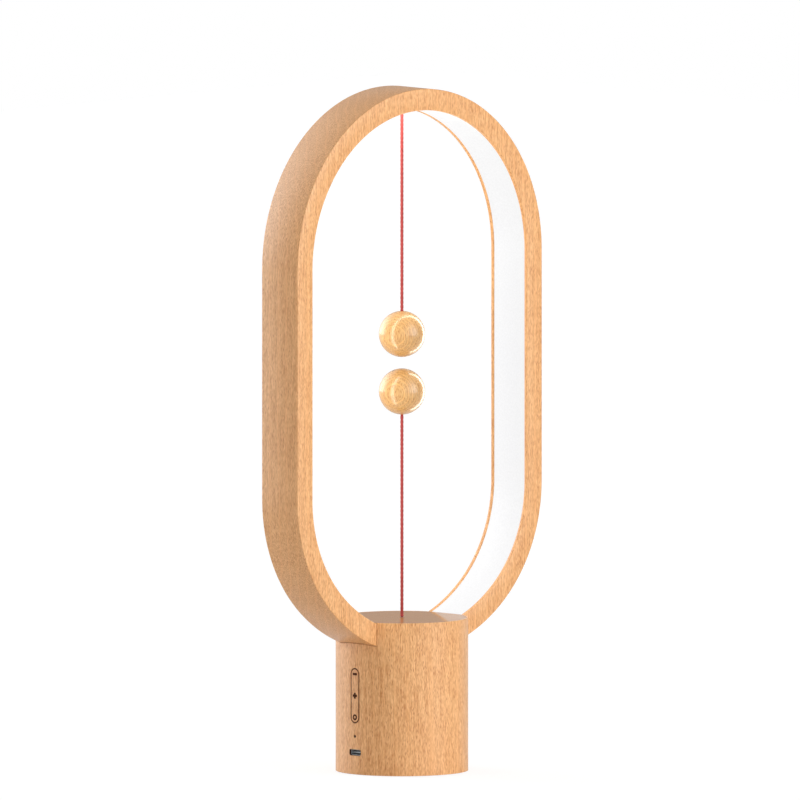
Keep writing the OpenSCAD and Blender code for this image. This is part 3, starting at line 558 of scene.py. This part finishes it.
light_out = GROOVE_BACK + FIT
light_half = GROOVE_HALF - FIT
light_profile = rounded_loop(
    [
        (light_out, -light_half, 0),
        (FACE_IN, -light_half, DIFFUSER_EDGE),
        (FACE_IN, light_half, DIFFUSER_EDGE),
        (light_out, light_half, 0),
        (light_out, light_half - DIFFUSER_SIDE, 0),
        (FACE_IN - DIFFUSER_FACE, light_half - DIFFUSER_SIDE, DIFFUSER_EDGE),
        (FACE_IN - DIFFUSER_FACE, DIFFUSER_SIDE - light_half, DIFFUSER_EDGE),
        (light_out, DIFFUSER_SIDE - light_half, 0),
    ]
)
swept_ring(
    "diffuser",
    light_profile,
    "diffuser",
    ["light_diffuser"],
    lambda x, z: z > BASE_H or abs(x) > DIFFUSER_END,
)


# ---------------------------------------------------------------- balls
def ball_arc(first, last, steps):
    """Points on the half section of a ball, from one angle above its middle to another."""
    angles = [first + (last - first) * k / steps for k in range(steps + 1)]
    return [(BALL_R * math.cos(a), BALL_R * math.sin(a)) for a in angles]


def ball_outline():
    """Half section of a ball: cord hole below, sphere, and the magnet's bore above, with softened rims."""
    foot = math.sqrt(BALL_R**2 - CORD_HOLE_R**2) - HOLE_RIM
    brim = math.sqrt(BALL_R**2 - BORE_R**2) - BORE_RIM_DOWN
    first = -math.acos((CORD_HOLE_R + HOLE_RIM) / BALL_R)
    last = math.acos((BORE_R + BORE_RIM_ACROSS) / BALL_R)
    return [
        (CORD_HOLE_R, -BORE_DEPTH),
        (CORD_HOLE_R, -foot),
        *ball_arc(first, last, BALL_STEPS),
        (BORE_R, brim),
        (BORE_R, -BORE_DEPTH),
    ]


def plug_outline():
    """Half section of the wooden plug that covers a magnet, domed to the ball's own radius."""
    brim = math.sqrt(BALL_R**2 - PLUG_R**2) - PLUG_RIM
    first = math.acos((PLUG_R - PLUG_RIM) / BALL_R)
    return [
        (0, BALL_R - PLUG_L),
        (PLUG_R, BALL_R - PLUG_L),
        (PLUG_R, brim),
        *ball_arc(first, math.pi / 2, PLUG_STEPS),
    ]


for side, z, flip in (("upper", UPPER_BALL_Z, True), ("lower", LOWER_BALL_Z, False)):
    ball, plug = side + "_ball", side + "_ball_plug"
    lathed(side + "_ball_turned", ball_outline(), z, "ball_beech", ball, [ball], flip=flip)
    lathed(side + "_ball_cap", plug_outline(), z, "ball_beech", ball, [plug], flip=flip, closed=False)


# ---------------------------------------------------------------- cords
def braid(name, low, high, body, stands_for):
    """A woven cord along the Z axis: its skin swells where the crossing threads come to the top."""
    count = max(2, round((high - low) / CORD_STEP))
    points, faces = [], []
    for i in range(count + 1):
        z = low + (high - low) * i / count
        for s in range(CORD_SIDES):
            angle = 2 * math.pi * s / CORD_SIDES
            turn = 2 * math.pi * z / THREAD_PITCH
            one = math.cos(THREADS * angle + turn)
            other = math.cos(THREADS * angle - turn)
            radius = CORD_R - THREAD_SWELL + THREAD_SWELL * max(one, other)
            points.append((radius * math.cos(angle), radius * math.sin(angle), z))
    for i in range(count):
        here, there = i * CORD_SIDES, (i + 1) * CORD_SIDES
        for s in range(CORD_SIDES):
            t = (s + 1) % CORD_SIDES
            faces.append((here + s, here + t, there + t, there + s))
    faces.append(tuple(range(CORD_SIDES)))
    faces.append(tuple(count * CORD_SIDES + s for s in range(CORD_SIDES)))
    return piece(name, points, faces, "red_cord", body, stands_for, sharp=80)


braid("upper_cord_braid", UPPER_BALL_Z, UPPER_PIVOT_Z, "upper_ball", ["upper_cord"])
lower_top = LOWER_BALL_Z - BORE_DEPTH
lower = braid("lower_cord_braid", LOWER_PIVOT_Z, lower_top, "lower_string", ["lower_cord"])
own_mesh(lower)


# ---------------------------------------------------------------- marks, and the painted shade on the port's wall
def square_tube(start, count, closed):
    """Faces of a tube with four points at each of its places, numbered from start."""
    faces = []
    for k in range(count if closed else count - 1):
        one, two = start + 4 * k, start + 4 * ((k + 1) % count)
        for m in range(4):
            n = (m + 1) % 4
            faces.append((one + m, one + n, two + n, two + m))
    if not closed:
        for end in (start, start + 4 * (count - 1)):
            faces.append(tuple(end + m for m in range(4)))
    return faces


def key_inlay(name, strips, proud=MARK_PROUD):
    """Thin marks bent onto the key's round face. A strip is (pairs of edge points (y, z), whether it closes)."""
    points, faces = [], []

    def on_side(y, z, lift):
        angle = y / BASE_R
        return (-(BASE_R + lift) * math.cos(angle), (BASE_R + lift) * math.sin(angle), z)

    for pairs, closed in strips:
        faces += square_tube(len(points), len(pairs), closed)
        for a, b in pairs:
            points += [on_side(*a, proud), on_side(*b, proud), on_side(*b, -proud), on_side(*a, -proud)]
    return piece(name, points, faces, "brown_plastic", "key", material=burnt_marks_and_port_shade)


def round_strip(outer, inner, z, count=48):
    """Pairs of points round a ring."""
    turns = [2 * math.pi * k / count for k in range(count)]
    return [
        ((outer * math.cos(t), z + outer * math.sin(t)), (inner * math.cos(t), z + inner * math.sin(t)))
        for t in turns
    ], True


def oblong_strip(w, h, thick, z, count=24):
    """Pairs of points round an upright oblong with half-round ends."""
    pairs = []
    for end, start in ((1, 0), (-1, math.pi)):
        for k in range(count + 1):
            t = start + math.pi * k / count
            middle = z + end * (h - w) / 2
            pairs.append(
                tuple((r * math.cos(t), middle + r * math.sin(t)) for r in (w / 2, w / 2 - thick))
            )
    return pairs, True


def bar_strip(w, h, z, count=16):
    """Pairs of points along a level bar with softened corners."""
    pairs = []
    for k in range(count + 1):
        y = w * (k / count - 0.5)
        short = max(0, abs(y) - (w / 2 - MARK_CORNER))
        half = h / 2 - MARK_CORNER + math.sqrt(max(0, MARK_CORNER**2 - short**2))
        pairs.append(((y, z - half), (y, z + half)))
    return pairs, False


key_inlay("key_minus", [bar_strip(MARK_W, MARK_LINE, KEY_Z + MARK_PITCH)])
key_inlay("key_plus", [bar_strip(MARK_W, MARK_LINE, KEY_Z), bar_strip(MARK_LINE, MARK_W, KEY_Z)])
key_inlay("key_ring", [round_strip(RING_MARK_R, RING_MARK_R - RING_MARK_LINE, KEY_Z - MARK_PITCH)])
key_inlay("key_edge", [oblong_strip(KEY_W, KEY_H, OUTLINE_W, KEY_Z)], OUTLINE_PROUD)


def port_wall_painted_shade():
    """A dark lining on the wall of the charging port's opening: painted shade for the recess in shadow."""
    loops = []
    for inward in (0, PORT_EDGE):
        w, h, r = PORT_OPEN_W / 2 - inward, PORT_OPEN_H / 2 - inward, PORT_ROUND - inward
        loops.append(rounded_loop([(-w, -h, r), (w, -h, r), (w, h, r), (-w, h, r)], 6))
    deep = PORT_EDGE_DEPTH - BASE_R
    points = []
    for (y0, z0), (y1, z1) in zip(*loops):
        points += [
            (-math.sqrt(BASE_R**2 - y0**2), y0, PORT_Z + z0),
            (-math.sqrt(BASE_R**2 - y1**2), y1, PORT_Z + z1),
            (deep, y1, PORT_Z + z1),
            (deep, y0, PORT_Z + z0),
        ]
    faces = square_tube(0, len(loops[0]), True)
    piece("port_wall_painted_shade", points, faces, "brown_plastic", "stand", material=burnt_marks_and_port_shade)


port_wall_painted_shade()


# ---------------------------------------------------------------- floor, light and world
def sees_white(tree):
    """1 for the rays that are to find a white studio: those of the camera and of clear glass, and some of gloss."""
    path = node(tree, "LightPath").outputs
    clear = math_node(tree, "MAXIMUM", path["Is Camera Ray"], path["Is Transmission Ray"])
    return math_node(tree, "MAXIMUM", clear, math_node(tree, "MULTIPLY", path["Is Glossy Ray"], GLOSS_WHITE))


def floor():
    mesh = bpy.data.meshes.new("floor")
    h = FLOOR_SIZE / 2
    mesh.from_pydata([(-h, -h, 0), (h, -h, 0), (h, h, 0), (-h, h, 0)], [], [(0, 1, 2, 3)])
    material = bpy.data.materials.new("floor")
    material.use_nodes = True
    tree = material.node_tree
    tree.nodes.clear()
    pale = node(tree, "BsdfDiffuse", {"Color": (FLOOR_GREY, FLOOR_GREY, FLOOR_GREY, 1)})
    white = node(tree, "Emission", {"Color": (1, 1, 1, 1), "Strength": (1 - SHADOW * FLOOR_LIT) / (1 - SHADOW)})
    kept = node(tree, "MixShader", {0: 1 - SHADOW, 1: pale.outputs[0], 2: white.outputs[0]})
    mixed = node(tree, "MixShader", {0: sees_white(tree), 1: pale.outputs[0], 2: kept.outputs[0]})
    out = node(tree, "OutputMaterial")
    tree.links.new(mixed.outputs[0], out.inputs["Surface"])
    mesh.materials.append(material)
    made = bpy.data.objects.new("floor", mesh)
    bpy.context.scene.collection.objects.link(made)


def studio():
    """White to the camera. Light and gloss find it brightest in front to the right and behind to the left."""
    world = bpy.data.worlds.new("studio")
    bpy.context.scene.world = world
    world.use_nodes = True
    tree = world.node_tree
    tree.nodes.clear()
    look = node(tree, "TexCoord").outputs["Generated"]
    across = node(tree, "VectorMath", {0: look, 1: right}, operation="DOT_PRODUCT").outputs["Value"]
    towards = Vector((-sin_a, -cos_a, 0))
    back = node(tree, "VectorMath", {0: look, 1: towards}, operation="DOT_PRODUCT").outputs["Value"]
    angle = math_node(tree, "ARCTAN2", across, back)
    ramp = node(tree, "ValToRGB", {"Fac": spread(tree, angle, -math.pi, math.pi)})
    ramp.color_ramp.interpolation = "EASE"
    elements = ramp.color_ramp.elements
    while len(elements) < len(STUDIO_LIGHT):
        elements.new(0.5)
    for element, (degrees, level) in zip(elements, STUDIO_LIGHT):
        element.position = degrees / 360 + 0.5
        element.color = (level, level, level, 1)
    rise = node(tree, "SeparateXYZ", {0: look}).outputs["Z"]
    sky = mix_colour(tree, spread(tree, rise, *TOP_RISE), ramp.outputs["Color"], (TOP_LIGHT,) * 3)
    lighting = node(tree, "Background", {"Color": sky, "Strength": 1.0})
    white = node(tree, "Background", {"Color": (1, 1, 1, 1), "Strength": 1.0})
    mixed = node(tree, "MixShader", {0: sees_white(tree), 1: lighting.outputs[0], 2: white.outputs[0]})
    out = node(tree, "OutputWorld")
    tree.links.new(mixed.outputs[0], out.inputs["Surface"])


def ring_glow():
    """The bright light of the strip, as short panels on the diffuser that only light things and show in gloss."""
    stations = ring_stations()
    for i in range(0, len(stations), GLOW_SPAN):
        ends = []
        for j in (i, (i + GLOW_SPAN) % len(stations)):
            x, z = ring_point(stations[j], FACE_IN + GLOW_LIFT)
            ends.append(Vector((x, 0, z)))
        middle, along = (ends[0] + ends[1]) / 2, ends[1] - ends[0]
        if middle.z < GLOW_FROM_Z:
            continue
        lamp = bpy.data.lights.new("glow_%d" % i, "AREA")
        lamp.shape = "RECTANGLE"
        lamp.size, lamp.size_y = along.length * MM, 2 * light_half * MM
        lamp.color = GLOW_COLOUR
        lamp.energy = GLOW * math.pi * lamp.size * lamp.size_y
        made = bpy.data.objects.new(lamp.name, lamp)
        bpy.context.scene.collection.objects.link(made)
        inward = Vector((-along.z, 0, along.x)).normalized()
        made.matrix_world = Matrix.Translation(middle * MM) @ Matrix(
            (along.normalized(), Vector((0, 1, 0)), -inward)
        ).transposed().to_4x4()
        made.visible_camera = False


floor()
studio()
ring_glow()
